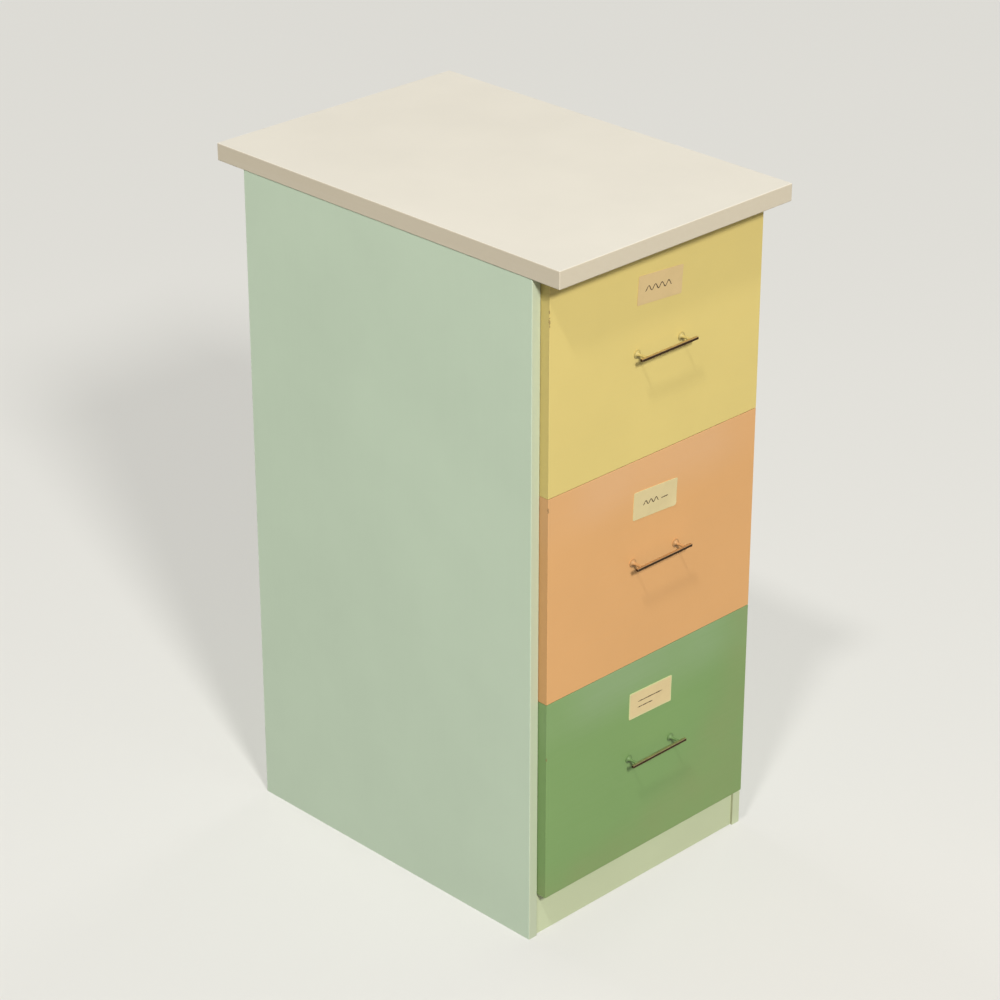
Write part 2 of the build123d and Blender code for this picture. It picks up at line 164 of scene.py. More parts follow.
class CabinetSizes(bpy.types.PropertyGroup):
    """Sizes of the marks in the finishes"""

    brush_width: length_property("Brush mark width", 5.0, "Width of the furrows that the brush left")
    brush_length: length_property("Brush mark length", 220.0, "Length of the furrows that the brush left")
    cloud: length_property("Cloud", 160.0, "Size of the patches where the paint lies thicker or thinner")
    stipple: length_property("Stipple", 1.6, "Grain of the dried paint film")
    wear: length_property("Worn edge", 1.6, "How far from an arris the paint is rubbed thin")
    chip: length_property("Chip", 7.0, "Size of the chips along the arrises")
    knock: length_property("Knock", 1.7, "How far a knock on an arris reaches across the paint")
    splinter: length_property("Splinter", 2.0, "Size of the splinters round a knock")
    # These shape a paler band near the top of a front.
    band_length: length_property("Band length", 180.0, "Length of the patches in the whitish bloom")
    band_height: length_property("Band height", 90.0, "Height of the patches in the whitish bloom")
    band_full: length_property("Band full", 20.0, "The bloom is full above this depth on a front")
    band_reach: length_property("Band reach", 95.0, "The bloom ends at this depth on a front")
    band_inner: length_property("Band inner", 100.0, "The bloom weakens this near a front's ends")
    band_outer: length_property("Band outer", 15.0, "The bloom is weakest this near a front's ends")
    soil_reach: length_property("Soil reach", 55.0, "How far from the edges the grime reaches")
    soil_patch: length_property("Soil patch", 60.0, "Size of the patches in the grime")
    coat: length_property("Coat", 4.0, "Size of the thick and thin spots in the paint on the posts")
    ply: length_property("Ply", 1.4, "Thickness of one veneer in the plywood")
    grain: length_property("Grain width", 3.5, "Spacing of the wood's grain lines")
    pore: length_property("Pore", 0.8, "Size of the pores in end grain")
    fleck_length: length_property("Fleck length", 4.0, "Length of the flecks in beech")
    fleck_width: length_property("Fleck width", 0.6, "Width of the flecks in beech")
    roll_length: length_property("Roll line length", 120.0, "Length of the lines that rolls left in steel")
    roll_width: length_property("Roll line width", 0.8, "Width of the lines that rolls left in steel")
    spangle: length_property("Spangle", 14.0, "Size of the bluish and yellow patches in the zinc")
    speck: length_property("Speck", 1.2, "Size of the dull specks in the screws' plating")
    grease: length_property("Grease", 5.0, "Size of the patches of grease on the balls and cages")
    rub_full: length_property("Rub full", 0.1, "The bronze is rubbed most this near an arris")
    rub_reach: length_property("Rub reach", 0.6, "How far from an arris the bronze is rubbed")
    patina: length_property("Patina", 9.0, "Size of the patches in the bronze's patina")
    fibre_length: length_property("Fibre length", 3.0, "Length of the fibres in the card")
    fibre_width: length_property("Fibre width", 0.5, "Width of the fibres in the card")
    handling: length_property("Handling", 25.0, "Size of the patches that handling left on a card")
    card_curl: length_property("Card curl", 0.5, "How far the corners of a card have lifted")
    card_corner: length_property("Card corner", 1.2, "How round the corners of a card have worn")
    pen: length_property("Pen width", 1.6, "Width of the pen strokes")
    ink_crown: length_property("Ink crown", 0.08, "Height of the dried ink")
    ink_root: length_property("Ink root", 0.05, "How far the ink sank into the card")
    ink_flow: length_property("Ink flow", 4.0, "Length over which the ink ran thick and thin")


class CabinetStage(bpy.types.PropertyGroup):
    """Camera, lamps and floor"""

    azimuth: angle_property("Azimuth", -44.681, "Direction of the camera round the cabinet")
    elevation: angle_property("Elevation", 26.319, "Height of the camera above the horizon")
    distance: length_property("Distance", 4390.7, "Camera to the middle of the cabinet")
    lens: bpy.props.FloatProperty(name="Lens", description="Focal length in millimetres", default=113.01)
    sensor: bpy.props.FloatProperty(name="Sensor", description="Sensor width in millimetres", default=36.0)
    lamp_distance: length_property("Lamp distance", 12000.0, "Lamps to the middle of the cabinet")
    key_power: power_property("Key lamp", 1130.0, "Soft lamp before the cabinet, a little to the left")
    high_power: power_property("High lamp", 475.0, "Small lamp high on the left")
    left_power: power_property("Left lamp", 90.0, "Wide low lamp on the left")
    right_power: power_property("Right lamp", 580.0, "Wide low lamp on the right")
    back_power: power_property("Back lamp", 580.0, "Wide low lamp behind")
    surround: bpy.props.FloatProperty(
        name="Surround", description="Even light of the studio's walls", default=0.37, min=0.0
    )
    floor_reach: length_property("Floor reach", 40000.0, "Middle of the floor to its edges")
    fade_start: length_property("Fade start", 2500.0, "Where the floor starts to fade into the backdrop")
    fade_end: length_property("Fade end", 9000.0, "Where the floor has faded into the backdrop")


def colours():
    """The colours as they are set now."""
    return bpy.context.scene.cabinet_colours


def sizes():
    """The sizes as they are set now."""
    return bpy.context.scene.cabinet_sizes


# Shader building

def plug(node, inputs):
    """Set a node's inputs, each to a value, to an output or to the first output another node has in use.

    Inputs that share a name go by number. A map range takes its value at 0, that value's range at 1 and 2,
    and the new range at 3 and 4. A mix of colours takes its share at 0 and the colours at 6 and 7.
    """
    for socket, value in inputs.items():
        entry = node.inputs[socket]
        if isinstance(value, bpy.types.Node):
            value = next(output for output in value.outputs if output.enabled)
        if isinstance(value, bpy.types.NodeSocket):
            node.id_data.links.new(value, entry)
        elif entry.type == "RGBA":
            entry.default_value = (*value[:3], 1.0)
        else:
            entry.default_value = value


def add(tree, kind, inputs=None, **settings):
    """Add a shader node to a tree, with its settings, input values and links from other nodes."""
    node = tree.nodes.new("ShaderNode" + kind)
    for key, value in settings.items():
        setattr(node, key, value)
    plug(node, inputs or {})
    return node


def new_material(name):
    """An empty material, its node tree with a shader on its output, and the place of a point on the piece."""
    material = bpy.data.materials.new(name)
    material.use_nodes = True
    tree = material.node_tree
    tree.nodes.clear()
    shader = add(tree, "BsdfPrincipled")
    add(tree, "OutputMaterial", {"Surface": shader})
    return material, tree, shader, add(tree, "TexCoord").outputs["Object"]


def long_axis(node):
    """Index of the axis along which a node is longest."""
    low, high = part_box(node)
    return max(range(3), key=lambda axis: (high - low)[axis])


def thin_axis(node):
    """Index of the axis along which a node is thinnest."""
    low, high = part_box(node)
    return min(range(3), key=lambda axis: (high - low)[axis])


def stretched(tree, place, along, length, width):
    """Coordinates scaled so that a noise of scale one is drawn out along an axis."""
    scale = [1 / width] * 3
    scale[along] = 1 / length
    return add(tree, "Mapping", {"Vector": place, "Scale": scale})


def edge_distance(tree, place, node):
    """Distance from a point on a board to the board's nearest edge."""
    low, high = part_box(node)
    from_low = add(tree, "VectorMath", {0: place, 1: low}, operation="SUBTRACT")
    from_high = add(tree, "VectorMath", {0: high, 1: place}, operation="SUBTRACT")
    nearest = add(tree, "VectorMath", {0: from_low, 1: from_high}, operation="MINIMUM")
    part = add(tree, "SeparateXYZ", {0: nearest}).outputs
    lesser = add(tree, "Math", {0: part["X"], 1: part["Y"]}, operation="MINIMUM")
    greater = add(tree, "Math", {0: part["X"], 1: part["Y"]}, operation="MAXIMUM")
    second = add(tree, "Math", {0: greater, 1: part["Z"]}, operation="MINIMUM")
    return add(tree, "Math", {0: lesser, 1: second}, operation="MAXIMUM")


def brushed_paint(
    name, node, colour, edge_colour=None, edge_axis=None, top_paling=0.0, soil=0.0, knocks=(), unpainted=None
):
    """Satin acrylic paint, laid on with a brush.

    The eye sees soft clouds where the coat is thicker, faint furrows along the stroke, a fine dried film,
    and arrises that are rubbed paler, with a few chips down to the board.
    """
    size = sizes()
    low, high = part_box(node)
    material, tree, shader, place = new_material(f"Satin acrylic paint, brushed, {name}, {node}")
    clouds = add(tree, "TexNoise", {
        "Vector": place, "Scale": 1 / size.cloud, "Detail": 3.0, "Roughness": 0.55,
    })
    furrows = add(tree, "TexNoise", {
        "Vector": stretched(tree, place, long_axis(node), size.brush_length, size.brush_width),
        "Scale": 1.0, "Detail": 2.0, "Roughness": 0.6,
    })
    stipple = add(tree, "TexNoise", {"Vector": place, "Scale": 1 / size.stipple, "Detail": 1.0})

    depth = add(tree, "MapRange", {0: clouds, 1: 0.3, 2: 0.7, 3: 0.0, 4: 1.0})
    paint = add(tree, "Mix", {0: depth, 6: scaled(colour, 0.975), 7: scaled(colour, 1.02)}, data_type="RGBA")
    # Faces that don't look along the axis take the edge colour: on the drawer fronts a painted shade, on the
    # side panels a painted warm light, on the slab the cream's own warmer edge.
    if edge_colour is not None:
        normal = add(tree, "NewGeometry").outputs["True Normal"]
        facing = add(tree, "SeparateXYZ", {0: normal}).outputs[edge_axis]
        turned = add(tree, "Math", {0: facing}, operation="ABSOLUTE")
        on_edge = add(tree, "MapRange", {0: turned, 1: 0.35, 2: 0.9, 3: 1.0, 4: 0.0})
        paint = add(tree, "Mix", {0: on_edge, 6: paint, 7: edge_colour}, data_type="RGBA")
    if unpainted is not None:
        paint = bare_faces(tree, paint, unpainted)
    if top_paling:
        paint = paled_near_top(tree, place, paint, low, high, colour, top_paling)
    if soil:
        paint = soiled(tree, place, paint, low, high, soil)

    furrow_tint = add(tree, "MapRange", {0: furrows, 1: 0.35, 2: 0.75, 3: 0.0, 4: 0.08})
    paint = add(tree, "Mix", {0: furrow_tint, 6: paint, 7: scaled(colour, 1.12)}, data_type="RGBA")

    edge = edge_distance(tree, place, node)
    ragged = add(tree, "TexNoise", {
        "Vector": place, "Scale": 1 / size.chip, "Detail": 3.0, "Roughness": 0.65,
    })
    rubbed = add(tree, "MapRange", {0: edge, 1: 0.0, 2: size.wear, 3: 0.08, 4: 0.0})
    paint = add(tree, "Mix", {0: rubbed, 6: paint, 7: scaled(colour, 1.18)}, data_type="RGBA")
    near = add(tree, "MapRange", {0: edge, 1: 0.0, 2: size.wear, 3: 0.0, 4: 0.5})
    loose = add(tree, "Math", {0: ragged, 1: near}, operation="SUBTRACT")
    chipped = add(tree, "MapRange", {0: loose, 1: 0.67, 2: 0.70, 3: 0.0, 4: 0.75})
    for height, length in knocks:
        knock = knocked(tree, place, (low.x, low.y, height), length)
        chipped = add(tree, "Math", {0: chipped, 1: knock}, operation="MAXIMUM")
    paint = add(tree, "Mix", {0: chipped, 6: paint, 7: colours().primer}, data_type="RGBA")

    film = add(tree, "Math", {0: stipple, 1: 0.35, 2: furrows}, operation="MULTIPLY_ADD")
    relief = add(tree, "Math", {0: chipped, 1: -1.0, 2: film}, operation="MULTIPLY_ADD")
    bump = add(tree, "Bump", {"Height": relief, "Strength": 0.35, "Distance": 0.15 * MM})
    gloss = add(tree, "MapRange", {0: furrows, 1: 0.3, 2: 0.7, 3: 0.58, 4: 0.68})
    plug(shader, {"Base Color": paint, "Roughness": gloss, "Normal": bump, "IOR": 1.48})
    return material


def bare_faces(tree, paint, direction):
    """Paint that leaves the faces that look in a direction as bare board, toned dark as a painted shade."""
    normal = add(tree, "NewGeometry").outputs["True Normal"]
    facing = add(tree, "VectorMath", {0: normal, 1: direction}, operation="DOT_PRODUCT")
    share = add(tree, "MapRange", {0: facing, 1: 0.15, 2: 0.7, 3: 0.0, 4: 0.9})
    return add(tree, "Mix", {0: share, 6: paint, 7: colours().board}, data_type="RGBA")


def knocked(tree, place, middle, length):
    """The share of bare board round a knock on an upright arris, ragged where the board has splintered."""
    size = sizes()
    splinters = add(tree, "TexNoise", {"Vector": place, "Scale": 1 / size.splinter, "Detail": 2.0})
    ragged_by = add(tree, "Math", {0: splinters, 1: -3.0, 2: 1.5}, operation="MULTIPLY_ADD")
    away = add(tree, "VectorMath", {0: place, 1: middle}, operation="SUBTRACT")
    shares = (1 / size.knock, 1 / size.knock, 2 / length)
    spread = add(tree, "VectorMath", {0: away, 1: shares}, operation="MULTIPLY")
    reach = add(tree, "VectorMath", {0: spread}, operation="LENGTH")
    uneven = add(tree, "Math", {0: reach, 1: ragged_by}, operation="ADD")
    return add(tree, "MapRange", {0: uneven, 1: 0.6, 2: 1.0, 3: 0.7, 4: 0.0})


def turned_paint(name, colour):
    """Satin acrylic paint, brushed over turned steel. Its downward faces are darkened, a painted shade."""
    material, tree, shader, place = new_material(f"Satin acrylic paint, brushed over turned steel, {name}")
    coat = add(tree, "TexNoise", {"Vector": place, "Scale": 1 / sizes().coat, "Detail": 3.0})
    paint = add(tree, "Mix", {0: coat, 6: scaled(colour, 0.9), 7: scaled(colour, 1.06)}, data_type="RGBA")
    # Faces that look down are darkened towards a fifth of the paint, a painted shade under the post.
    normal = add(tree, "NewGeometry").outputs["True Normal"]
    upward = add(tree, "SeparateXYZ", {0: normal}).outputs["Z"]
    below = add(tree, "MapRange", {0: upward, 1: -0.6, 2: 0.15, 3: 0.75, 4: 0.0})
    paint = add(tree, "Mix", {0: below, 6: paint, 7: scaled(colour, 0.2)}, data_type="RGBA")
    bump = add(tree, "Bump", {"Height": coat, "Strength": 0.25, "Distance": 0.1 * MM})
    plug(shader, {"Base Color": paint, "Normal": bump, "Roughness": 0.55, "IOR": 1.48})
    return material


def paled_near_top(tree, place, paint, low, high, colour, strength):
    """Paint made paler near its upper edge, uneven and strongest midway between its ends."""
    size = sizes()
    band = add(tree, "TexNoise", {
        "Vector": stretched(tree, place, 0, size.band_length, size.band_height),
        "Scale": 1.0, "Detail": 2.0,
    })
    part = add(tree, "SeparateXYZ", {0: place}).outputs
    fall = add(tree, "MapRange", {
        0: part["Z"], 1: high.z - size.band_reach, 2: high.z - size.band_full, 3: 0.0, 4: 1.0,
    }, interpolation_type="SMOOTHSTEP")
    from_middle = add(tree, "Math", {0: part["X"], 1: (low.x + high.x) / 2}, operation="SUBTRACT")
    sideways = add(tree, "Math", {0: from_middle}, operation="ABSOLUTE")
    half = (high.x - low.x) / 2
    midway = add(tree, "MapRange", {
        0: sideways, 1: half - size.band_inner, 2: half - size.band_outer, 3: 1.0, 4: 0.4,
    }, interpolation_type="SMOOTHSTEP")
    patch = add(tree, "MapRange", {0: band, 1: 0.35, 2: 0.65, 3: 0.7, 4: 1.0})
    amount = add(tree, "Math", {0: fall, 1: patch}, operation="MULTIPLY")
    uneven = add(tree, "Math", {0: amount, 1: midway}, operation="MULTIPLY")
    share = add(tree, "Math", {0: uneven, 1: strength}, operation="MULTIPLY")
    pale_grey = 0.78
    pale = [(value + pale_grey) / 2 for value in colour[:3]]
    return add(tree, "Mix", {0: share, 6: paint, 7: pale}, data_type="RGBA")


def soiled(tree, place, paint, low, high, strength):
    """Paint that hands have dulled towards its right and lower edges."""
    size = sizes()
    part = add(tree, "SeparateXYZ", {0: place}).outputs
    from_right = add(tree, "Math", {0: high.x, 1: part["X"]}, operation="SUBTRACT")
    from_below = add(tree, "Math", {0: part["Z"], 1: low.z}, operation="SUBTRACT")
    nearest = add(tree, "Math", {0: from_right, 1: from_below}, operation="SMOOTH_MIN")
    fall = add(tree, "MapRange", {
        0: nearest, 1: 0.0, 2: size.soil_reach, 3: 1.0, 4: 0.0,
    }, interpolation_type="SMOOTHSTEP")
    patches = add(tree, "TexNoise", {"Vector": place, "Scale": 1 / size.soil_patch, "Detail": 3.0})
    uneven = add(tree, "MapRange", {0: patches, 1: 0.3, 2: 0.7, 3: 0.5, 4: 1.0})
    amount = add(tree, "Math", {0: fall, 1: uneven}, operation="MULTIPLY")
    share = add(tree, "Math", {0: amount, 1: strength}, operation="MULTIPLY")
    return add(tree, "Mix", {0: share, 6: paint, 7: colours().soil}, data_type="RGBA")


def birch_plywood(node):
    """Birch plywood, sanded and lacquered.

    The faces show long fine grain, and the edges show the stack of veneers, every other one end grain.
    """
    size = sizes()
    colour = colours()
    low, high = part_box(node)
    thin, along = thin_axis(node), long_axis(node)
    material, tree, shader, place = new_material(f"Birch plywood, sanded and lacquered, {node}")
    grain = add(tree, "TexNoise", {
        "Vector": stretched(tree, place, along, 60 * size.grain, size.grain),
        "Scale": 1.0, "Detail": 4.0, "Roughness": 0.6, "Distortion": 0.4,
    })
    flame = add(tree, "TexNoise", {
        "Vector": stretched(tree, place, along, 40 * size.grain, 10 * size.grain),
        "Scale": 1.0, "Detail": 2.0,
    })
    level = add(tree, "SeparateXYZ", {0: place}).outputs[AXES[thin]]
    count = max(3, 2 * round((high - low)[thin] / size.ply / 2) + 1)
    inset = 0.02 * size.ply
    layer = add(tree, "MapRange", {
        0: level, 1: low[thin] - inset, 2: high[thin] + inset, 3: 0.0, 4: float(count),
    })
    whole = add(tree, "Math", {0: layer}, operation="FLOOR")
    crosswise = add(tree, "Math", {0: whole, 1: 2.0}, operation="MODULO")
    face = add(tree, "Mix", {
        0: grain, 6: scaled(colour.birch, 0.82), 7: scaled(colour.birch, 1.12),
    }, data_type="RGBA")
    warm = add(tree, "MapRange", {0: flame, 1: 0.4, 2: 0.7, 3: 0.0, 4: 0.25})
    face = add(tree, "Mix", {0: warm, 6: face, 7: colour.birch_dark}, data_type="RGBA")
    # Pores are really about a tenth of a millimetre wide, and are drawn eight times coarser to show.
    pores = add(tree, "TexNoise", {"Vector": place, "Scale": 1 / size.pore, "Detail": 1.0})
    ends = add(tree, "Mix", {
        0: pores, 6: scaled(colour.birch_dark, 0.8), 7: scaled(colour.birch_dark, 1.15),
    }, data_type="RGBA")
    wood = add(tree, "Mix", {0: crosswise, 6: face, 7: ends}, data_type="RGBA")
    bump = add(tree, "Bump", {"Height": grain, "Strength": 0.3, "Distance": 0.1 * MM})
    gloss = add(tree, "MapRange", {0: grain, 1: 0.3, 2: 0.7, 3: 0.42, 4: 0.58})
    plug(shader, {"Base Color": wood, "Roughness": gloss, "Normal": bump, "IOR": 1.5})
    return material


def turned_beech():
    """Beech, turned into dowels. Short dark flecks lie along the grain."""
    size = sizes()
    colour = colours().beech
    material, tree, shader, place = new_material("Beech, turned")
    flecks = add(tree, "TexNoise", {
        "Vector": stretched(tree, place, 0, size.fleck_length, size.fleck_width), "Scale": 1.0, "Detail": 2.0,
    })
    wood = add(tree, "Mix", {0: flecks, 6: scaled(colour, 0.75), 7: scaled(colour, 1.1)}, data_type="RGBA")
    bump = add(tree, "Bump", {"Height": flecks, "Strength": 0.3, "Distance": 0.05 * MM})
    plug(shader, {"Base Color": wood, "Normal": bump, "Roughness": 0.6})
    return material


def rolled_zinc_steel():
    """Zinc plated steel, cold rolled into channels and strips.

    Fine roll lines run along it, and the passivated zinc is mottled, a little bluish and a little yellow.
    """
    size = sizes()
    colour = colours().zinc
    material, tree, shader, place = new_material("Zinc plated steel, cold rolled")
    # Roll lines are really finer than a tenth of a millimetre, and are drawn coarser to show.
    lines = add(tree, "TexNoise", {
        "Vector": stretched(tree, place, 1, size.roll_length, size.roll_width), "Scale": 1.0, "Detail": 2.0,
    })
    mottle = add(tree, "TexNoise", {"Vector": place, "Scale": 1 / size.spangle, "Detail": 4.0})
    bluish = tinted(colour, 0.92, 0.97, 1.04)
    yellow = tinted(colour, 1.06, 1.02, 0.86)
    plating = add(tree, "Mix", {0: mottle, 6: bluish, 7: yellow}, data_type="RGBA")
    gloss = add(tree, "MapRange", {0: lines, 1: 0.3, 2: 0.7, 3: 0.28, 4: 0.46})
    bump = add(tree, "Bump", {"Height": lines, "Strength": 0.25, "Distance": 0.05 * MM})
    plug(shader, {"Base Color": plating, "Roughness": gloss, "Normal": bump, "Metallic": 1.0})
    return material


def zinc_screw_steel():
    """Zinc plated steel, cold headed. It is bright and a little yellow, with dull specks in the plating."""
    colour = colours().zinc
    material, tree, shader, place = new_material("Zinc plated steel, cold headed")
    specks = add(tree, "TexNoise", {"Vector": place, "Scale": 1 / sizes().speck, "Detail": 2.0})
    yellow = tinted(colour, 1.08, 1.02, 0.8)
    plating = add(tree, "Mix", {0: specks, 6: scaled(colour, 0.85), 7: yellow}, data_type="RGBA")
    gloss = add(tree, "MapRange", {0: specks, 1: 0.3, 2: 0.7, 3: 0.42, 4: 0.24})
    plug(shader, {"Base Color": plating, "Roughness": gloss, "Metallic": 1.0})
    return material


def polished_steel():
    """Bearing steel, ground and polished. It mirrors softly, with a thin film of grease in patches."""
    colour = colours().steel
    material, tree, shader, place = new_material("Bearing steel, ground and polished")
    grease = add(tree, "TexNoise", {"Vector": place, "Scale": 1 / sizes().grease, "Detail": 3.0})
    tint = add(tree, "Mix", {0: grease, 6: scaled(colour, 0.8), 7: colour}, data_type="RGBA")
    gloss = add(tree, "MapRange", {0: grease, 1: 0.3, 2: 0.7, 3: 0.32, 4: 0.14})
    plug(shader, {"Base Color": tint, "Roughness": gloss, "Metallic": 1.0})
    return material


def rubbed_bronze(node):
    """Bronze, patinated dark and rubbed by hands.

    The bar is almost black brown, and its arrises are worn back to warm metal. Its upper face is painted pale
    warm metal, a painted highlight.
    """
    size = sizes()
    colour = colours()
    material, tree, shader, place = new_material(f"Bronze, patinated and rubbed, {node}")
    mottle = add(tree, "TexNoise", {"Vector": place, "Scale": 1 / size.patina, "Detail": 4.0})
    edge = edge_distance(tree, place, node)
    arris = add(tree, "MapRange", {0: edge, 1: size.rub_full, 2: size.rub_reach, 3: 0.3, 4: 0.0})
    # Upward faces take the rubbed colour, a painted highlight on the bar's top.
    normal = add(tree, "NewGeometry").outputs["True Normal"]
    upward = add(tree, "SeparateXYZ", {0: normal}).outputs["Z"]
    top = add(tree, "MapRange", {0: upward, 1: 0.4, 2: 0.95, 3: 0.0, 4: 0.9})
    worn = add(tree, "Math", {0: arris, 1: top}, operation="MAXIMUM")
    patchy = add(tree, "MapRange", {0: mottle, 1: 0.3, 2: 0.6, 3: 0.75, 4: 1.0})
    share = add(tree, "Math", {0: worn, 1: patchy}, operation="MULTIPLY")
    metal = add(tree, "Mix", {0: share, 6: colour.bronze, 7: colour.bronze_rubbed_and_highlight}, data_type="RGBA")
    gloss = add(tree, "MapRange", {0: share, 1: 0.0, 2: 1.0, 3: 0.5, 4: 0.3})
    bump = add(tree, "Bump", {"Height": mottle, "Strength": 0.2, "Distance": 0.1 * MM})
    plug(shader, {"Base Color": metal, "Roughness": gloss, "Normal": bump, "Metallic": 1.0})
    return material


def uncoated_card(name, colour, bleach):
    """Card, uncoated and cut by hand.

    Felted fibres show, handling has darkened it in soft patches, and its rim has bleached.
    """
    size = sizes()
    material, tree, shader, place = new_material(f"Card, uncoated, {name}")
    # Fibres are really about a twentieth of a millimetre wide, and are drawn ten times coarser to show.
    fibres = add(tree, "TexNoise", {
        "Vector": stretched(tree, place, 0, size.fibre_length, size.fibre_width), "Scale": 1.0, "Detail": 3.0,
    })
    handling = add(tree, "TexNoise", {"Vector": place, "Scale": 1 / size.handling, "Detail": 3.0})
    sheet = add(tree, "Mix", {0: fibres, 6: scaled(colour, 0.95), 7: scaled(colour, 1.05)}, data_type="RGBA")
    darkened = add(tree, "MapRange", {0: handling, 1: 0.45, 2: 0.75, 3: 0.0, 4: 0.35})
    sheet = add(tree, "Mix", {0: darkened, 6: sheet, 7: scaled(colour, 0.85)}, data_type="RGBA")
    rim = add(tree, "Attribute", attribute_name="rim").outputs["Fac"]
    share = add(tree, "Math", {0: rim, 1: bleach}, operation="MULTIPLY")
    sheet = add(tree, "Mix", {0: share, 6: sheet, 7: colours().rim}, data_type="RGBA")
    bump = add(tree, "Bump", {"Height": fibres, "Strength": 0.3, "Distance": 0.05 * MM})
    plug(shader, {"Base Color": sheet, "Normal": bump, "Roughness": 0.9})
    return material


def pen_ink():
    """Iron gall ink, drawn with a pen. It dries brown where it lies thin."""
    colour = colours().ink
    material, tree, shader, place = new_material("Iron gall ink, drawn with a pen")
    flow = add(tree, "TexNoise", {"Vector": place, "Scale": 1 / sizes().ink_flow, "Detail": 2.0})
    tint = add(tree, "Mix", {0: flow, 6: scaled(colour, 0.6), 7: scaled(colour, 1.6)}, data_type="RGBA")
    plug(shader, {"Base Color": tint, "Roughness": 0.7})
    return material


def dress(node, material):
    """Give a node of the construction model its finish."""
    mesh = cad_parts[node].data
    mesh.materials.clear()
    mesh.materials.append(material)


def new_piece(name, build, material, body):
    """A new closed mesh in the cabinet's own frame, riding on a body. The builder fills its bmesh."""
    mesh = bpy.data.meshes.new(name)
    shape = bmesh.new()
    build(shape)
    bmesh.ops.recalc_face_normals(shape, faces=shape.faces)
    shape.to_mesh(mesh)
    shape.free()
    mesh.materials.append(material)
    piece = bpy.data.objects.new(name, mesh)
    bpy.context.scene.collection.objects.link(piece)
    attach(piece, body)
    return piece


# Finishes of the construction's own pieces

class CABINET_OT_paint_carcass(bpy.types.Operator):
    """Paint the slab, the side panels, the plinth and the back"""

    bl_idname = "cabinet.paint_carcass"
    bl_label = "Paint Carcass"

    def execute(self, context):
        colour = colours()
        dress("top_slab", brushed_paint("cream", "top_slab", colour.cream, colour.cream_edge, "Z"))
        # The side panels' edges take a yellower mint, a painted warm light.
        for side, edge, inward in (
            ("side_panel_left", colour.mint_edge, (1, 0, 0)),
            ("side_panel_right", colour.plinth, (-1, 0, 0)),
        ):
            # Inner faces are left bare, in board toned dark as a painted shade.
            dress(side, brushed_paint("mint", side, colour.mint, edge, "X", unpainted=inward))
        # The plinth's yellower mint is a painted warm light.
        dress("plinth_front", brushed_paint("plinth mint", "plinth_front", colour.plinth))
        for node in ("plinth_rear", "bottom_panel", "back_panel"):
            dress(node, brushed_paint("mint", node, scaled(colour.mint, 0.96)))
        for node in ("top_rail_front", "top_rail_rear"):
            dress(node, birch_plywood(node))
        dress("carcass_dowels", turned_beech())
        return {"FINISHED"}


class CABINET_OT_paint_drawer_fronts(bpy.types.Operator):
    """Paint the drawer fronts and the handle posts on them"""

    bl_idname = "cabinet.paint_drawer_fronts"
    bl_label = "Paint Drawer Fronts"

    def execute(self, context):
        # Painted shade on the front's edges, strengths of the pale band near the top and of grime, and height
        # and length of each knock.
        wear = {
            "upper": (0.79, 0.0, 0.0, ((931 * MM, 6 * MM), (917 * MM, 13 * MM))),
            "middle": (0.79, 0.15, 0.0, ((656 * MM, 8 * MM),)),
            "lower": (0.87, 0.2, 0.22, ((286 * MM, 6 * MM),)),
        }
        for drawer in DRAWERS:
            colour = getattr(colours(), drawer)
            edge_painted_shade, top_paling, soil, knocks = wear[drawer]
            front = drawer + "_drawer_front"
            dress(front, brushed_paint(drawer, front, colour, scaled(colour, edge_painted_shade), "Y", top_paling, soil, knocks))
            # The posts take the front's colour darkened to seven tenths, a painted shade.
            dress(drawer + "_handle_posts", turned_paint(drawer, scaled(colour, 0.7)))
        return {"FINISHED"}


class CABINET_OT_finish_drawer_boxes(bpy.types.Operator):
    """Give the drawer boxes their bare plywood"""

    bl_idname = "cabinet.finish_drawer_boxes"
    bl_label = "Finish Drawer Boxes"

    def execute(self, context):
        for drawer in DRAWERS:
            for board in ("left", "right", "fore", "rear", "bottom"):
                node = f"{drawer}_box_{board}"
                dress(node, birch_plywood(node))
        return {"FINISHED"}


class CABINET_OT_finish_metal(bpy.types.Operator):
    """Give the runners, rails, cages and handle bars their metal"""

    bl_idname = "cabinet.finish_metal"
    bl_label = "Finish Metal"

    def execute(self, context):
        zinc = rolled_zinc_steel()
        bright = polished_steel()
        dress("runner_outers", zinc)
        for drawer in DRAWERS:
            for ending in ("runner_inners", "runner_intermediates", "file_rails"):
                dress(f"{drawer}_{ending}", zinc)
            for ending in ("outer_ball_cages", "inner_ball_cages"):
                dress(f"{drawer}_{ending}", bright)
            bar = drawer + "_handle_bar"
            dress(bar, rubbed_bronze(bar))
        return {"FINISHED"}


# Cards

def card_corners(node):
    """Front corners of a card in the construction: lower left, lower right, upper left, upper right."""
    points = [vertex.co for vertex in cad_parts[node].data.vertices]
    face = min(point.y for point in points)
    front = [point for point in points if point.y < face + SAME_PLANE]
    return [
        max(front, key=lambda point: across * point.x + up * point.z).copy()
        for across, up in ((-1, -1), (1, -1), (-1, 1), (1, 1))
    ]


